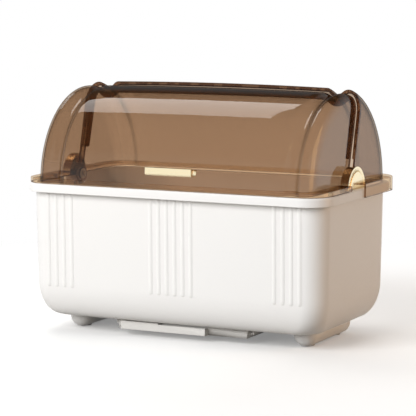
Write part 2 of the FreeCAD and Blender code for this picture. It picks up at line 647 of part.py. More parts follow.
def utensil_holder():
    x0, x1, y0, y1 = HOLDER
    outer = block(x0, x1, y0, y1, GRID_TOP, HOLDER_TOP)
    upright = [e for e in outer.Edges if e.BoundBox.ZMax - e.BoundBox.ZMin > 1]
    outer = outer.makeFillet(7.0, upright)
    inner = block(x0 + 2, x1 - 2, y0 + 2, y1 - 2, GRID_TOP + 2, HOLDER_TOP + 1)
    inner = inner.makeFillet(5.0, [e for e in inner.Edges if e.BoundBox.ZMax - e.BoundBox.ZMin > 1])
    box = outer.cut(inner)
    mid = (y0 + y1) / 2
    guides = []
    for x, way in ((x0 + 2, 1), (x1 - 2, -1)):
        for y in (mid - 3.2, mid + 1.2):
            guides.append(block(x - way * 0.5, x + way * 2.0, y, y + 2.0, GRID_TOP + 2, HOLDER_TOP - 4))
    box = fuse([box] + guides)
    holes = [rod_z(x, y, GRID_TOP - 1, GRID_TOP + 3, 1.9) for x in (163, 177, 191) for y in (20, 34, 60, 74)]
    return box.cut(Part.makeCompound(holes))


def utensil_divider():
    x0, x1, y0, y1 = HOLDER
    mid = (y0 + y1) / 2
    return block(x0 + 2.2, x1 - 2.2, mid - 1.0, mid + 1.0, GRID_TOP + 2, HOLDER_TOP - 8)


def lid_bumper(x, y):
    pad = rod_z(x, y, RIM_TOP + 0.05, FLANGE_TOP - WALL, 3.5)
    return pad.makeFillet(0.8, level_edges(pad, RIM_TOP + 0.05))


os.makedirs("parts", exist_ok=True)

save("tub", tub())
for side_name, sx in (("left", -1), ("right", 1)):
    save(f"foot_{side_name}", foot(sx))
    save(f"tray_rail_{side_name}", tray_rail(sx))
    save(f"hinge_bracket_{side_name}", hinge_bracket(sx))
    save(f"hinge_cover_{side_name}", hinge_cover(sx))
    save(f"hinge_pin_{side_name}", hinge_pin(sx))
save("foot_pads", Part.makeCompound([rod_z(x, y, 0, PAD_TOP, PAD_RADIUS) for x, y in FOOT_SCREWS]))
save("foot_screws", Part.makeCompound([upright_screw(x, y, PAD_TOP, BOSS_TOP - 3) for x, y in FOOT_SCREWS]))
save("rail_screws", Part.makeCompound([upright_screw(x, y, RAIL_EAR_LOW - SCREW_HEAD_HEIGHT, BOSS_TOP - 3)
                                         for x, y in RAIL_SCREWS]))
save("drip_tray", drip_tray())
save("front_lid", front_lid())
save("rear_lid", rear_lid())
save("handle_bar", handle_bar())
save("handle_screws", Part.makeCompound([handle_screw(x) for x in HANDLE_SCREWS]))
save("handle_washers", Part.makeCompound([handle_washer(x) for x in HANDLE_SCREWS]))
save("lid_bumpers", Part.makeCompound([lid_bumper(sx * BUMPER_X, y) for sx in (-1, 1) for y in BUMPER_Y]))
save("pivot_spacers", Part.makeCompound([sleeve(sx * 213.2, sx * 217.3, PIN_RADIUS, 7.5) for sx in (-1, 1)]))
save("pivot_washers", Part.makeCompound([sleeve(sx * 208.7, sx * 210.3, PIN_RADIUS, 7.5) for sx in (-1, 1)]))
save("pin_clips", Part.makeCompound([pin_clip(sx) for sx in (-1, 1)]))
save("bracket_screws", Part.makeCompound([bracket_screw(sx, y) for sx in (-1, 1) for y in BRACKET_SCREW_Y]))
save("drain_grid", drain_grid())
save("plate_rack_front", comb(**FRONT_PLATES))
save("plate_rack_rear", comb(**REAR_PLATES))
save("bowl_rack", comb(**BOWLS))
save("utensil_holder", utensil_holder())
save("utensil_divider", utensil_divider())
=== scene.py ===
import math

import bmesh
import bpy
from mathutils import Matrix, Vector


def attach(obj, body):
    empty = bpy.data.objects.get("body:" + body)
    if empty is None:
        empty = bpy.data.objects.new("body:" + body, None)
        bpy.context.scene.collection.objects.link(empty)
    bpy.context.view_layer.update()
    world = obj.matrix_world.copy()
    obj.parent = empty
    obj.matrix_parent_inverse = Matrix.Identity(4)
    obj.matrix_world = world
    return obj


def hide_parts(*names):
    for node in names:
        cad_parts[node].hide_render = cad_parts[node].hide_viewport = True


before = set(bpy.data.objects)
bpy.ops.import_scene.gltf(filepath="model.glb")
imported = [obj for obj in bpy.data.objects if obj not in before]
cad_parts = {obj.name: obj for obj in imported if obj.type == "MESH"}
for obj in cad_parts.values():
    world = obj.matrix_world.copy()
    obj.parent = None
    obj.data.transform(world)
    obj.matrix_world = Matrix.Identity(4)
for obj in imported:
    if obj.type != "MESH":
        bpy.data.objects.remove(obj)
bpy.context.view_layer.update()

# Camera: a long lens from the right of the front and a little above the rim, the way the rack is
# seen on a counter. Its focal length and picture width are in pixels.
aim = Vector((-0.0023, 0.0, 0.17685))
azimuth = math.radians(26.255)
elevation = math.radians(7.158)
distance = 2.9255
picture_width = 416
focal_length = 2033.5
towards_camera = Vector((math.sin(azimuth) * math.cos(elevation), -math.cos(azimuth) * math.cos(elevation),
                         math.sin(elevation)))
lens = bpy.data.cameras.new("camera")
lens.sensor_width = 36.0
lens.lens = focal_length / picture_width * lens.sensor_width
lens.clip_end = 20.0
camera = bpy.data.objects.new("camera", lens)
camera.location = aim + towards_camera * distance
camera.rotation_euler = (-towards_camera).to_track_quat("-Z", "Y").to_euler()
bpy.context.scene.collection.objects.link(camera)
bpy.context.scene.camera = camera
bpy.context.scene.view_settings.view_transform = "Standard"
# A sight line through both lid shells, front and back, meets more clear walls than usual.
bpy.context.scene.cycles.transparent_max_bounces = 32


def linear(hex_colour):
    """An sRGB hex colour as the linear colour that shaders take."""
    parts = [int(hex_colour[i:i + 2], 16) / 255 for i in (1, 3, 5)]
    return [p / 12.92 if p <= 0.04045 else ((p + 0.055) / 1.055) ** 2.4 for p in parts] + [1.0]


def add(tree, kind, settings=None, **links):
    """One node: settings go by property, socket name or socket number, and links by name or by _number."""
    made = tree.nodes.new(kind)
    for name, value in (settings or {}).items():
        if isinstance(name, int) or name in made.inputs:
            made.inputs[name].default_value = value
        else:
            setattr(made, name, value)
    for name, source in links.items():
        number = int(name[1:]) if name[0] == "_" else None
        tree.links.new(source, made.inputs[name.replace("_", " ") if number is None else number])
    return made


def material(name):
    """An empty node material, its tree and its output."""
    made = bpy.data.materials.new(name)
    made.use_nodes = True
    made.node_tree.nodes.clear()
    return made, made.node_tree, made.node_tree.nodes.new("ShaderNodeOutputMaterial")


def either(tree, first, second):
    """1 where one of two signals is 1."""
    return add(tree, "ShaderNodeMath", {"operation": "MAXIMUM"}, _0=first, _1=second).outputs[0]


# Light: a dim room all round, a large soft key from the front left, a softbox overhead that the
# barrel lid mirrors as a band, a warm fill on the right end and a plain one behind.
world = bpy.data.worlds.new("room")
bpy.context.scene.world = world
world.use_nodes = True
room = world.node_tree
room.nodes.clear()
ray = add(room, "ShaderNodeLightPath")
see_through = either(room, ray.outputs["Is Camera Ray"], ray.outputs["Is Transmission Ray"])
dim_room = add(room, "ShaderNodeBackground", {"Color": linear("#F2F3F6"), "Strength": 0.32})
white_room = add(room, "ShaderNodeBackground", {"Color": (1, 1, 1, 1), "Strength": 1.0})
# Gloss sees a white wall at the level of the rack and a brown ceiling.
up = add(room, "ShaderNodeTexCoord")
height = add(room, "ShaderNodeSeparateXYZ", _0=up.outputs["Generated"])
ceiling = add(room, "ShaderNodeMapRange", {"From Min": 0.10, "From Max": 0.55}, Value=height.outputs["Z"])
wall_to_ceiling = add(room, "ShaderNodeMix", {"data_type": "RGBA", 6: (1, 1, 1, 1), 7: linear("#8C6A4C")},
                      _0=ceiling.outputs[0])
gloss_room = add(room, "ShaderNodeBackground", {"Strength": 1.0}, Color=wall_to_ceiling.outputs[2])
first_mix = add(room, "ShaderNodeMixShader", _0=ray.outputs["Is Glossy Ray"], _1=dim_room.outputs[0],
                _2=gloss_room.outputs[0])
room_mix = add(room, "ShaderNodeMixShader", _0=see_through, _1=first_mix.outputs[0],
               _2=white_room.outputs[0])
add(room, "ShaderNodeOutputWorld", Surface=room_mix.outputs[0])


def softbox(name, place, target, width, height, power, hex_colour):
    """A rectangular area lamp that faces the target."""
    lamp = bpy.data.lights.new(name, "AREA")
    lamp.shape = "RECTANGLE"
    lamp.size = width
    lamp.size_y = height
    lamp.energy = power
    lamp.color = linear(hex_colour)[:3]
    box = bpy.data.objects.new(name, lamp)
    box.location = place
    box.rotation_euler = (Vector(target) - Vector(place)).to_track_quat("-Z", "Y").to_euler()
    bpy.context.scene.collection.objects.link(box)
    return box


key = softbox("key", place=(-0.9, -2.7, 1.4), target=(0, 0, 0.15), width=2.2, height=1.8, power=93.0,
              hex_colour="#FFFFFF")
key.visible_glossy = False
softbox("overhead", place=(-0.79, 0.43, 1.75), target=(-0.79, 0.43, 0.0), width=0.62, height=0.87,
        power=6.5, hex_colour="#FFFBF6")
softbox("end_fill", place=(2.6, 0.7, 0.7), target=(0.1, 0, 0.15), width=1.4, height=1.4, power=17.0,
        hex_colour="#FFC47A")
back_fill = softbox("back_fill", place=(-0.8, 2.6, 1.3), target=(0, 0, 0.15), width=2.0, height=1.6,
                    power=42.0, hex_colour="#FFFFFF")
back_fill.visible_glossy = False

# Floor: a plain pale sheet that takes the rack's soft shadow and fades to white further out.
floor_half = 6.0
clear_from = 0.40
clear_to = 0.95
floor_mesh = bmesh.new()
bmesh.ops.create_grid(floor_mesh, x_segments=1, y_segments=1, size=floor_half)
floor_data = bpy.data.meshes.new("floor")
floor_mesh.to_mesh(floor_data)
floor_mesh.free()
floor = bpy.data.objects.new("floor", floor_data)
bpy.context.scene.collection.objects.link(floor)
floor_finish, tree, out = material("pale_floor")
where = add(tree, "ShaderNodeTexCoord")
from_middle = add(tree, "ShaderNodeVectorMath", {"operation": "LENGTH"}, _0=where.outputs["Object"])
far = add(tree, "ShaderNodeMapRange",
          {"From Min": clear_from, "From Max": clear_to, "interpolation_type": "SMOOTHSTEP"},
          Value=from_middle.outputs["Value"])
sheet = add(tree, "ShaderNodeBsdfDiffuse", {"Color": linear("#F0F0EF")})
lift = add(tree, "ShaderNodeEmission", {"Color": (1, 1, 1, 1), "Strength": 0.22})
near_white = add(tree, "ShaderNodeAddShader", _0=sheet.outputs[0], _1=lift.outputs[0])
far_white = add(tree, "ShaderNodeEmission", {"Color": (1, 1, 1, 1), "Strength": 1.0})
shown = add(tree, "ShaderNodeMixShader", _0=far.outputs[0], _1=near_white.outputs[0],
            _2=far_white.outputs[0])
# Only rays that show the floor itself see it pale; the light it throws back is duller and warm.
unseen = add(tree, "ShaderNodeBsdfDiffuse", {"Color": linear("#8C867E")})
ray = add(tree, "ShaderNodeLightPath")
through = either(tree, ray.outputs["Is Camera Ray"], ray.outputs["Is Transmission Ray"])
seen = either(tree, through, ray.outputs["Is Glossy Ray"])
floor_mix = add(tree, "ShaderNodeMixShader", _0=seen, _1=unseen.outputs[0], _2=shown.outputs[0])
tree.links.new(floor_mix.outputs[0], out.inputs[0])
floor_data.materials.append(floor_finish)


def finish_piece(name, bm, surface, body, sharp=32.0, also=()):
    """Turn a bmesh into a named piece that rides on a body and is smooth except at sharp edges."""
    bm.normal_update()
    data = bpy.data.meshes.new(name)
    bm.to_mesh(data)
    bm.free()
    data.shade_smooth()
    data.set_sharp_from_angle(angle=math.radians(sharp))
    for finish in (surface, *also):
        data.materials.append(finish)
    piece = bpy.data.objects.new(name, data)
    bpy.context.scene.collection.objects.link(piece)
    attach(piece, body)
    return piece


def merged_copy(name, node, surface, body, sharp=32.0):
    """A CAD node's own shape with its loose triangles joined, so that its round faces shade smoothly."""
    bm = bmesh.new()
    bm.from_mesh(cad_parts[node].data)
    bmesh.ops.remove_doubles(bm, verts=bm.verts, dist=2e-6)
    piece = finish_piece(name, bm, surface, body, sharp)
    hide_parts(node)
    return piece


def skin(bm, rings):
    """Extrude a closed ring of vertices through a list of rings of points; returns its two end loops."""
    ring = [bm.verts.new(p) for p in rings[0]]
    loop = [bm.edges.new((ring[i - 1], ring[i])) for i in range(len(ring))]
    start = loop
    for points in rings[1:]:
        made = bmesh.ops.extrude_edge_only(bm, edges=loop)["geom"]
        old = set(ring)
        above = {}
        for vert in (g for g in made if isinstance(g, bmesh.types.BMVert)):
            for edge in vert.link_edges:
                other = edge.other_vert(vert)
                if other in old:
                    above[other] = vert
        ring = [above[v] for v in ring]
        for vert, point in zip(ring, points):
            vert.co = point
        loop = [bm.edges.get((ring[i - 1], ring[i])) for i in range(len(ring))]
    return start, loop


def grained(name, hex_colour, grain, roughness, settings, relief=None):
    """A surface whose roughness varies between two values with a fine grain of a (scale, detail).

    Relief, where there is one, is the (scale, detail, strength, height) of its bumps."""
    made, tree, out = material(name)
    where = add(tree, "ShaderNodeTexCoord").outputs["Object"]
    speck = add(tree, "ShaderNodeTexNoise", {"Scale": grain[0], "Detail": grain[1]}, Vector=where)
    sheen = add(tree, "ShaderNodeMapRange", {"To Min": roughness[0], "To Max": roughness[1]},
                Value=speck.outputs[0])
    surface = add(tree, "ShaderNodeBsdfPrincipled", {"Base Color": linear(hex_colour), **settings},
                  Roughness=sheen.outputs[0])
    if relief:
        wave = add(tree, "ShaderNodeTexNoise", {"Scale": relief[0], "Detail": relief[1]}, Vector=where)
        bump = add(tree, "ShaderNodeBump", {"Strength": relief[2], "Distance": relief[3]},
                   Height=wave.outputs[0])
        tree.links.new(bump.outputs[0], surface.inputs["Normal"])
    tree.links.new(surface.outputs[0], out.inputs[0])
    return made


# Tub: injection-moulded polypropylene, glossy white, with a turned-down rim, upright flutes and a
# deeply rounded bottom. Moulded in one shot, so wall, rim, flutes and floor share one skin.
# A moulded gloss face is smooth, with a very slight ripple that bends its reflections.
tub_finish = grained("polypropylene_gloss_moulded", "#F3F2F0", (900.0, 3.0), (0.24, 0.34), {"IOR": 1.49},
                     (28.0, 2.0, 0.06, 0.002))

rim_half_x = 0.235
rim_half_y = 0.1355
rim_corner = 0.038
rim_top = 0.216
rim_band = 0.0125
rim_fillet = 0.0024
edge_break = 0.0004
wall = 0.0025
body_half_x = 0.2282
body_half_y = 0.1240
body_corner = 0.030
body_bottom = 0.0236
rounding_reach = 0.022
rounding_height = 0.048
rounding_steps = 16
draft = math.tan(math.radians(0.8))
flute_radius = 0.005
flute_proud = 0.0011
flute_foot = 0.070
flute_top = 0.208
flute_pitch = 0.0125
outer_flutes_from = 0.158
flute_places = [flute_pitch * (i - 2.5) for i in range(6)]
flute_places += [side * (outer_flutes_from + flute_pitch * i) for side in (-1, 1) for i in range(4)]
flute_sink = flute_radius - flute_proud
flute_half = math.sqrt(flute_radius ** 2 - flute_sink ** 2)

# Stations along the front: close together over each flute, and wide apart on the plain wall.
front_run = body_half_x - body_corner
plain_step = 0.016
front_stations = {-front_run, front_run}
for place in flute_places:
    front_stations |= {place + flute_half * part for part in (-1.0, -0.82, -0.5, 0.0, 0.5, 0.82, 1.0)}
front_stations = sorted(s for s in front_stations if abs(s) <= front_run)
for low, high in list(zip(front_stations, front_stations[1:])):
    steps = math.ceil((high - low) / plain_step)
    front_stations += [low + (high - low) * i / steps for i in range(1, steps)]
front_stations.sort()
corner_steps = 22
side_steps = 14
fillet_steps = 6
# Levels of the wall between its bottom rounding and its rim, outside and inside.
outer_levels = [0.076, 0.09, 0.12, 0.15, 0.18, flute_top]
inner_levels = [0.19, 0.15, 0.11, 0.075]
rounding_end = 0.074


def flute_lift(station, z):
    """How far a flute stands out of the wall at a station and a level; its foot is a round end."""
    below = max(0.0, flute_foot - z)
    if z > flute_top:
        return 0.0
    for place in flute_places:
        left = flute_radius ** 2 - (station - place) ** 2 - below ** 2
        if left > flute_sink ** 2:
            return math.sqrt(left) - flute_sink
    return 0.0


def outline(run_x, run_y, corner, z, fluted=False):
    """One level of the tub's skin, anticlockwise: straight runs each way from the middle, and corners.

    Fluted levels keep their stations, so that the flutes stand upright on the drafted wall."""
    half = []
    for station in front_stations:
        x = station if fluted else station * run_x / front_run
        turn = max(0.0, abs(x) - run_x) / corner
        reach = corner + (flute_lift(station, z) if fluted else 0.0)
        straight = max(-run_x, min(run_x, x))
        half.append(Vector((straight + math.copysign(reach * math.sin(turn), x),
                            -run_y - reach * math.cos(turn), z)))
    passed = (front_run - run_x) / corner if fluted else 0.0
    left = math.pi / 2 - passed
    for i in range(1, corner_steps):
        turn = passed + left * i / corner_steps
        half.append(Vector((run_x + corner * math.sin(turn), -run_y - corner * math.cos(turn), z)))
    half += [Vector((run_x + corner, run_y * (2 * i / side_steps - 1), z)) for i in range(side_steps + 1)]
    for i in range(1, corner_steps):
        turn = left * i / corner_steps
        half.append(Vector((run_x + corner * math.cos(turn), run_y + corner * math.sin(turn), z)))
    return half + [Vector((-p.x, -p.y, p.z)) for p in half]


def body_ring(inset, z, fluted=False):
    """The body's outline at a level, drawn in by the draft and, lower down, by the bottom rounding."""
    fallen = max(0.0, 1 - (z - body_bottom - inset) / (rounding_height - inset))
    less = (rim_top - z) * draft + (rounding_reach - inset) * (1 - math.sqrt(max(0.0, 1 - fallen ** 2)))
    return outline(front_run - less, body_half_y - body_corner - less, body_corner - inset, z, fluted)


def rim_ring(inset, z):
    """The rim's outline at a level."""
    return outline(rim_half_x - rim_corner, rim_half_y - rim_corner, rim_corner - inset, z)


def bottom_rings(inset, up_to):
    """The bottom rounding, from the floor up to a level near the wall."""
    height = rounding_height - inset
    levels = [body_bottom + inset + height * (1 - math.cos(math.pi / 2 * i / rounding_steps))
              for i in range(rounding_steps + 1)]
    return [body_ring(inset, z) for z in levels if z < up_to]


flute_end = [flute_foot - flute_half * part for part in (1.08, 0.99, 0.9, 0.72, 0.45, 0.0)]
rings = bottom_rings(0.0, flute_end[0] - 0.001)
rings += [body_ring(0.0, z, True) for z in flute_end + outer_levels]
rings += [body_ring(0.0, flute_top + edge_break), body_ring(0.0, rim_top - wall - edge_break),
          body_ring(-edge_break, rim_top - wall)]
rings += [rim_ring(wall + edge_break, rim_top - wall), rim_ring(wall, rim_top - wall - edge_break),
          rim_ring(wall, rim_top - rim_band + edge_break), rim_ring(wall - edge_break, rim_top - rim_band),
          rim_ring(edge_break, rim_top - rim_band), rim_ring(0.0, rim_top - rim_band + edge_break)]
for i in range(fillet_steps + 1):
    turn = math.pi / 2 * i / fillet_steps
    rings.append(rim_ring(rim_fillet * (1 - math.cos(turn)), rim_top - rim_fillet * (1 - math.sin(turn))))
rings += [body_ring(wall - 3 * edge_break, rim_top), body_ring(wall - edge_break, rim_top - edge_break),
          body_ring(wall, rim_top - 3 * edge_break)]
rings += [body_ring(wall, z) for z in inner_levels]
rings += reversed(bottom_rings(wall, rounding_end))
bm = bmesh.new()
under, inside = skin(bm, rings)

# Drain slots through the floor, with round ends.
slot_half_width = 0.002
slot_half_run = 0.008
slot_pitch_x = 0.025
slot_pitch_y = 0.04
slot_turns = [math.pi * i / 6 for i in range(7)]
for x in [slot_pitch_x * i for i in range(-3, 4)]:
    for y in [slot_pitch_y * i for i in range(-1, 2)]:
        end = [Vector((slot_half_width * math.cos(turn),
                       slot_half_run + slot_half_width * math.sin(turn), 0)) for turn in slot_turns]
        slot = end + [-p for p in end]
        low, high = skin(bm, [[Vector((x + p.x, y + p.y, z)) for p in slot]
                              for z in (body_bottom, body_bottom + wall)])
        under = under + low
        inside = inside + high
bmesh.ops.triangle_fill(bm, use_beauty=True, edges=under, normal=(0, 0, -1))
bmesh.ops.triangle_fill(bm, use_beauty=True, edges=inside, normal=(0, 0, 1))
bmesh.ops.recalc_face_normals(bm, faces=bm.faces)
tub = finish_piece("tub_shell", bm, tub_finish, "root", 24.0)
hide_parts("tub")

# Screw bosses on the floor inside, and the pads in the end walls that carry the pivots.
boss_radius = 0.005
boss_top = 0.034
foot_boss_x = 0.178
foot_boss_y = 0.045
rail_boss_x = 0.1135
rail_boss_y = 0.06
seat_inner = 0.2192
seat_thickness = 0.0045
seat_bottom = 0.195
seat_half = 0.033
axis_y = 0.002
boss_places = [(sx * foot_boss_x, sy * foot_boss_y) for sx in (-1, 1) for sy in (-1, 1)]
boss_places += [(sx * rail_boss_x, sy * rail_boss_y) for sx in (-1, 1) for sy in (-1, 0, 1)]
bm = bmesh.new()
for x, y in boss_places:
    place = Matrix.Translation((x, y, (body_bottom + boss_top) / 2 + wall / 4))
    boss = bmesh.ops.create_cone(bm, cap_ends=True, segments=32, radius1=boss_radius, radius2=boss_radius,
                                 depth=boss_top - body_bottom - wall / 2, matrix=place)
    top = [e for e in bm.edges
           if all(v in boss["verts"] and v.co.z > boss_top - edge_break for v in e.verts)]
    bmesh.ops.bevel(bm, geom=top, offset=edge_break, segments=2, profile=0.5, affect="EDGES", material=-1)
for side in (-1, 1):
    size = Matrix.Diagonal((seat_thickness, 2 * seat_half, rim_top - seat_bottom - wall / 2, 1))
    place = Matrix.Translation((side * (seat_inner + seat_thickness / 2), axis_y,
                                (rim_top + seat_bottom - wall / 2) / 2))
    pad = bmesh.ops.create_cube(bm, size=1.0, matrix=place @ size)
    edges = [e for e in bm.edges if e.verts[0] in pad["verts"]]
    bmesh.ops.bevel(bm, geom=edges, offset=edge_break, segments=2, profile=0.5, affect="EDGES", material=-1)
finish_piece("tub_bosses_and_seats", bm, tub_finish, "root")

# Feet: two runners of the same white polypropylene, screwed up under the tub, with
# thermoplastic rubber pads let into them.
for side in ("left", "right"):
    merged_copy(f"runner_{side}", f"foot_{side}", tub_finish, "root")


def smoky_clear(name, clear_tint, edge_tint):
    """Clear tinted plastic: tint on every surface, deeper where the wall is seen edge-on, under gloss."""
    edge_power = 3.6
    most_shine = 0.13
    made, tree, out = material(name)
    facing = add(tree, "ShaderNodeLayerWeight", {"Blend": 0.5})
    edge_on = add(tree, "ShaderNodeMath", {"operation": "POWER", 1: edge_power}, _0=facing.outputs["Facing"])
    tint = add(tree, "ShaderNodeMix", {"data_type": "RGBA", 6: linear(clear_tint), 7: linear(edge_tint)},
               _0=edge_on.outputs[0])
    passed = add(tree, "ShaderNodeBsdfTransparent", _0=tint.outputs[2])
    mirror = add(tree, "ShaderNodeBsdfAnisotropic", {"Color": (1, 1, 1, 1), "Roughness": 0.03})
    fresnel = add(tree, "ShaderNodeFresnel", {"IOR": 1.42})
    least = add(tree, "ShaderNodeMath", {"operation": "MINIMUM", 1: most_shine}, _0=fresnel.outputs[0])
    # Where the wall is nearly edge-on, its own dark edge wins over the mirror image.
    open_face = add(tree, "ShaderNodeMath", {"operation": "SUBTRACT", 0: 1.0}, _1=edge_on.outputs[0])
    shine = add(tree, "ShaderNodeMath", {"operation": "MULTIPLY"}, _0=least.outputs[0],
                _1=open_face.outputs[0])
    # The wall shines from outside only; seen from within, the same formula would make it a full mirror.
    facing_side = add(tree, "ShaderNodeNewGeometry")
    outside = add(tree, "ShaderNodeMath", {"operation": "SUBTRACT", "use_clamp": True}, _0=shine.outputs[0],
                  _1=facing_side.outputs["Backfacing"])
    mixed = add(tree, "ShaderNodeMixShader", _0=outside.outputs[0], _1=passed.outputs[0],
                _2=mirror.outputs[0])
    tree.links.new(mixed.outputs[0], out.inputs["Surface"])
    return made


# Lid shells: injection-moulded clear styrene acrylonitrile, tinted smoky brown. The tint is in
# the plastic, so walls seen edge-on are darker, and each shell is a thin wall turned about the pins.
# The thick edges have the deep tint of a long way through the plastic. The flanges are the same wall as the
# shell but take a lighter tint: painted light that brightens the shaded white rim seen through them.
lid_finish = smoky_clear("san_smoky_clear_moulded", "#E2D5C8", "#2E1E12")
lid_edge_finish = smoky_clear("san_smoky_clear_edge", "#A88C74", "#483222")
# A lighter copy of the lid plastic for the flanges: painted light, not a thinner wall.
flange_painted_light_finish = smoky_clear("san_smoky_clear_painted_light", "#FBF3E6", "#C2B09C")
edge_faces = 1
flange_faces = 2

axis_z = 0.217
lobe_x = 0.200
groove_x = 0.183
groove_start_x = 0.167
hub = 0.00355
lid_wall = 0.0025
ear_radius = 0.014
lip_from = 0.040
# Radii at which the end wall has a ring, from the pin's hole to where the thicker edge begins.
end_wall_radii = (hub, 0.009, ear_radius, 0.022, 0.031, lip_from)
front_barrel = {"radius": 0.1315, "crown": 0.0015, "groove": 0.0090, "drop": 0.0010,
                "end_x": 0.0130, "end_r": 0.0240}
rear_barrel = {"radius": 0.1398, "crown": 0.0022, "groove": 0.0085, "drop": 0.0015,
               "end_x": 0.0200, "end_r": 0.0320}
end_wall_steps = 9
arc_steps = 9
end_curve_steps = 12
crown_steps = 26
ear_steps = 24


def s_bend(run, rise):
    """The turn and the radius of the two equal arcs that step over a run by a rise."""
    turn = 2 * math.atan(rise / run)
    return turn, run / 2 / math.sin(turn)


def barrel_line(barrel, inset, hub_inset=None):
    """Points (x, radius) along a barrel's section, drawn in by an inset, from the right to the left pin."""
    radius, lobe_r = barrel["radius"], barrel["radius"] - barrel["drop"]
    groove_r = radius - barrel["groove"]
    shoulder_r = lobe_r - barrel["end_r"]
    side_x = lobe_x + barrel["end_x"]
    near = inset if hub_inset is None else hub_inset
    line = [(side_x - near, r) for r in end_wall_radii]
    line += [(side_x - inset, lip_from + 0.001 + (shoulder_r - lip_from - 0.001) * i / end_wall_steps)
             for i in range(end_wall_steps)]
    for i in range(end_curve_steps + 1):
        turn = math.pi / 2 * i / end_curve_steps
        line.append((lobe_x + (barrel["end_x"] - inset) * math.cos(turn),
                     shoulder_r + (barrel["end_r"] - inset) * math.sin(turn)))
    steep, tight = s_bend(lobe_x - groove_x, barrel["groove"] - barrel["drop"])
    gentle, wide = s_bend(groove_x - groove_start_x, barrel["groove"])
    steps = range(1, arc_steps + 1)
    line += [(lobe_x - (tight - inset) * math.sin(steep * i / arc_steps),
              lobe_r - tight + (tight - inset) * math.cos(steep * i / arc_steps)) for i in steps]
    line += [(groove_x + (tight + inset) * math.sin(steep * (1 - i / arc_steps)),
              groove_r + tight - (tight + inset) * math.cos(steep * (1 - i / arc_steps))) for i in steps]
    line += [(groove_x - (wide + inset) * math.sin(gentle * i / arc_steps),
              groove_r + wide - (wide + inset) * math.cos(gentle * i / arc_steps)) for i in steps]
    line += [(groove_start_x + (wide - inset) * math.sin(gentle * (1 - i / arc_steps)),
              radius - wide + (wide - inset) * math.cos(gentle * (1 - i / arc_steps))) for i in steps]
    bow = (groove_start_x ** 2 + barrel["crown"] ** 2) / (2 * barrel["crown"])
    for i in range(1, crown_steps + 1):
        x = groove_start_x * (1 - i / crown_steps)
        line.append((x, radius - inset + math.sqrt(bow ** 2 - x ** 2) - bow + barrel["crown"]))
    return line + [(-x, r) for x, r in reversed(line[:-1])]


def on_barrel(x, r, angle):
    """A point at a radius from the pins, turned up and back from the front by an angle in degrees."""
    turn = math.radians(angle)
    return Vector((x, axis_y - r * math.cos(turn), axis_z + r * math.sin(turn)))


def sweep(bm, geom, degrees, steps):
    """Turn a section's faces about the pins and return the faces at the far end."""
    made = bmesh.ops.spin(bm, geom=geom, cent=(0, axis_y, axis_z), axis=(-1, 0, 0), dvec=(0, 0, 0),
                          angle=math.radians(degrees), steps=steps, use_merge=False, use_duplicate=False)
    return [g for g in made["geom_last"] if isinstance(g, bmesh.types.BMFace)]


def lid_shell(bm, barrel, stages):
    """A thin wall turned about the pins, in stages of (start, degrees, steps, depth beyond the hubs)."""
    outer = barrel_line(barrel, 0.0)
    angle = stages[0][0]
    side = bm.verts.layers.int.new("inner_station")
    inner = barrel_line(barrel, stages[0][3], lid_wall)
    pairs = []
    for i, (out_point, in_point) in enumerate(zip(outer, inner)):
        a = bm.verts.new(on_barrel(*out_point, angle))
        b = bm.verts.new(on_barrel(*in_point, angle))
        b[side] = i + 1
        pairs.append((a, b))
    cap = [bm.faces.new((pairs[i][0], pairs[i + 1][0], pairs[i + 1][1], pairs[i][1]))
           for i in range(len(pairs) - 1)]
    for number, (start, degrees, steps, depth) in enumerate(stages):
        if number > 0:
            made = bmesh.ops.extrude_face_region(bm, geom=cap)["geom"]
            cap = [g for g in made if isinstance(g, bmesh.types.BMFace)]
            inner = barrel_line(barrel, depth, lid_wall)
            for vert in {v for f in cap for v in f.verts}:
                if vert[side]:
                    vert.co = on_barrel(*inner[vert[side] - 1], start)
        verts = {v for f in cap for v in f.verts}
        edges = {e for f in cap for e in f.edges}
        cap = sweep(bm, list(verts) + list(edges) + cap, degrees, steps)
    bmesh.ops.remove_doubles(bm, verts=bm.verts, dist=1e-6)


def darken_edges(bm, low, high):
    """Give a shell's thick edge, between two angles up from the front, the deep edge tint."""
    for face in bm.faces:
        middle = face.calc_center_median()
        angle = math.degrees(math.atan2(middle.z - axis_z, axis_y - middle.y))
        if low <= angle <= high:
            face.material_index = edge_faces


def ear(bm, barrel, start, degrees):
    """The rest of the round ear about each pin, where the shell itself stops."""
    for sx in (-1, 1):
        x1 = sx * (lobe_x + barrel["end_x"])
        x0 = x1 - sx * lid_wall
        corners = [bm.verts.new(on_barrel(x, r, start))
                   for x, r in ((x0, hub), (x1, hub), (x1, ear_radius), (x0, ear_radius))]
        face = bm.faces.new(corners)
        sweep(bm, corners + list(face.edges) + [face], degrees, ear_steps)


flange_top = 0.2234
flange_bottom = 0.2163
flange_break = 0.0010
flange_break_steps = 3


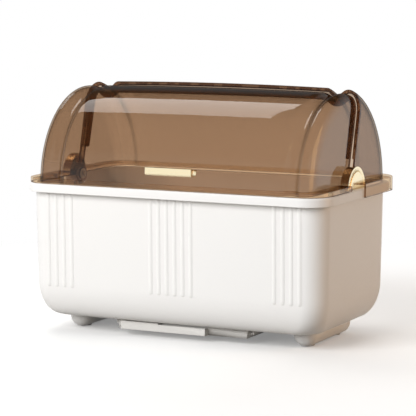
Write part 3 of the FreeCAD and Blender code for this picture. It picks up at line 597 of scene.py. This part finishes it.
def flange(bm, half_x, half_y, corner, bottom, stations, way):
    """A flange round one side of a barrel's foot: a plate, and a band turned down from its edge.

    Stations are (x, inner y at the top, inner y below the plate), and way is -1 to the front, 1 to the
    back."""
    def edge(x, y, inset):
        """The outline's point square out from a point at the barrel's foot."""
        centre_x, centre_y = half_x - corner, half_y - corner
        over_x, over_y = abs(x) - centre_x, way * y - centre_y
        reach = corner - inset
        if over_y <= 0 and over_x > 0:
            return math.copysign(half_x - inset, x), y
        if over_x <= 0:
            return x, way * (half_y - inset)
        turn = math.atan2(over_x, over_y)
        return math.copysign(centre_x + reach * math.sin(turn), x), way * (centre_y + reach * math.cos(turn))

    rings = []
    for x, y_top, y_low in stations:
        ring = [(x, y_top, flange_top)]
        for i in range(flange_break_steps + 1):
            turn = math.pi / 2 * i / flange_break_steps
            ring.append((*edge(x, y_top, flange_break * (1 - math.sin(turn))),
                         flange_top - flange_break * (1 - math.cos(turn))))
        ring += [(*edge(x, y_top, 0.0), bottom), (*edge(x, y_top, lid_wall), bottom),
                 (*edge(x, y_top, lid_wall), flange_top - lid_wall), (x, y_low, flange_top - lid_wall)]
        rings.append([Vector(p) for p in ring])
    shell_faces = set(bm.faces)
    first, last = skin(bm, rings)
    for face in set(bm.faces) - shell_faces:
        lowest = all(v.co.z < bottom + 1e-5 for v in face.verts)
        face.material_index = edge_faces if lowest else flange_faces
    for end in (first, last):
        bmesh.ops.edgeloop_fill(bm, edges=end, mat_nr=edge_faces)


def foot_stations(barrel, way, back_to):
    """Where a flange meets its barrel: x, and y at the plate's top and underside, from right to left."""
    stations = []
    for x, r in barrel_line(barrel, lid_wall / 2):
        levels = []
        for z in (flange_top, flange_top - lid_wall):
            levels.append(axis_y + way * math.sqrt(max(r ** 2 - (z - axis_z) ** 2, 0.0)))
        if way * levels[0] > way * back_to:
            stations.append((x, *levels))
    return stations


# Front shell: the inner one, from the front rim over the top, with a lip along its trailing edge.
front_sweep = 106.0
lip_depth = 0.0080
lip_sweep = 1.6
front_steps = 70
lip_steps = 2
front_flange = {"half_x": 0.2335, "half_y": 0.1340, "corner": 0.0365, "bottom": flange_bottom, "way": -1}
flange_back = axis_y - 0.032
bm = bmesh.new()
lid_shell(bm, front_barrel, [(0.0, front_sweep - lip_sweep, front_steps, lid_wall),
                             (front_sweep - lip_sweep, lip_sweep, lip_steps, lip_depth)])
darken_edges(bm, front_sweep - lip_sweep, front_sweep + 1)
ear(bm, front_barrel, front_sweep, 360.0 - front_sweep)
stations = foot_stations(front_barrel, -1, flange_back)
ends = [(stations[0][0], flange_back, flange_back), (stations[-1][0], flange_back, flange_back)]
flange(bm, stations=ends[:1] + stations + ends[1:], **front_flange)
bmesh.ops.recalc_face_normals(bm, faces=bm.faces)
front_shell = finish_piece("front_shell", bm, lid_finish, "lid", 30.0,
                           (lid_edge_finish, flange_painted_light_finish))
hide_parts("front_lid")

# Rear shell: the outer one, snapped over the rim by a skirt, with a bead along its leading edge.
rear_start = 104.0
bead_depth = 0.0046
bead_sweep = 2.6
bead_steps = 3
rear_steps = 50
skirt_bottom = 0.2035
skirt_front = 0.009
rear_flange = {"half_x": 0.2378, "half_y": 0.1442, "corner": 0.0408, "bottom": skirt_bottom, "way": 1}
pivot_gap_x = 0.228
pivot_gap_y = 0.0331
bm = bmesh.new()
rear_wall_start = rear_start + bead_sweep
lid_shell(bm, rear_barrel, [(rear_start, bead_sweep, bead_steps, bead_depth),
                            (rear_wall_start, 180.0 - rear_wall_start, rear_steps, lid_wall)])
darken_edges(bm, rear_start - 1, rear_wall_start)
ear(bm, rear_barrel, 0.0, rear_start)
stations = foot_stations(rear_barrel, 1, pivot_gap_y)
gap = [(pivot_gap_x, y, y) for y in (skirt_front, 0.017, 0.025, pivot_gap_y)]
gap.append((stations[0][0], pivot_gap_y, pivot_gap_y))
stations = gap + stations + [(-x, a, b) for x, a, b in reversed(gap)]
flange(bm, stations=stations, **rear_flange)
bmesh.ops.recalc_face_normals(bm, faces=bm.faces)
rear_shell = finish_piece("rear_shell", bm, lid_finish, "root", 30.0,
                          (lid_edge_finish, flange_painted_light_finish))
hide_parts("rear_lid")

# Gold pieces: die-cast zinc with a pale gold plating, polished.
gold_finish = grained("zinc_gold_plated_polished", "#FBEDC8", (1400.0, 2.0), (0.16, 0.26),
                      {"Metallic": 1.0})
merged_copy("handle", "handle_bar", gold_finish, "lid")
for side in ("left", "right"):
    merged_copy(f"pivot_{side}", f"hinge_bracket_{side}", gold_finish, "root")
    merged_copy(f"pivot_disc_{side}", f"hinge_cover_{side}", gold_finish, "root")

# Tray and rails: moulded polypropylene in a slightly greyer white, satin.
tray_finish = grained("polypropylene_satin_moulded", "#DAD8D4", (1100.0, 3.0), (0.36, 0.48), {"IOR": 1.49},
                      (1100.0, 3.0, 0.1, 0.0003))
merged_copy("drawer", "drip_tray", tray_finish, "tray")
for side in ("left", "right"):
    merged_copy(f"guide_{side}", f"tray_rail_{side}", tray_finish, "root")

# Inserts: the grid, combs and cutlery box, and the pivots' spacers and washers, all moulded
# polypropylene with a fine matt texture.
insert_finish = grained("polypropylene_matt_moulded", "#ECEAE6", (1500.0, 3.0), (0.42, 0.58), {"IOR": 1.49})
for node in ("drain_grid", "plate_rack_front", "plate_rack_rear", "bowl_rack", "utensil_holder",
             "utensil_divider", "pivot_spacers", "pivot_washers"):
    merged_copy(f"{node}_moulding", node, insert_finish, "root")

# Pins, clips and screws: zinc-plated steel, turned and rolled.
steel_finish = grained("steel_zinc_plated", "#C2C3C6", (2000.0, 2.0), (0.22, 0.38), {"Metallic": 1.0})
for node in ("hinge_pin_left", "hinge_pin_right", "pin_clips", "foot_screws", "rail_screws",
             "bracket_screws"):
    merged_copy(f"{node}_steel", node, steel_finish, "root")
merged_copy("handle_screws_steel", "handle_screws", steel_finish, "lid")

# Pads, bumpers and handle washers: soft thermoplastic rubber, grey-white.
pad_finish = grained("thermoplastic_rubber_soft", "#CFCDC8", (1500.0, 3.0), (0.55, 0.75), {"IOR": 1.5})
merged_copy("feet_pads", "foot_pads", pad_finish, "root")
merged_copy("flange_bumpers", "lid_bumpers", pad_finish, "lid")
merged_copy("washers_soft", "handle_washers", pad_finish, "lid")
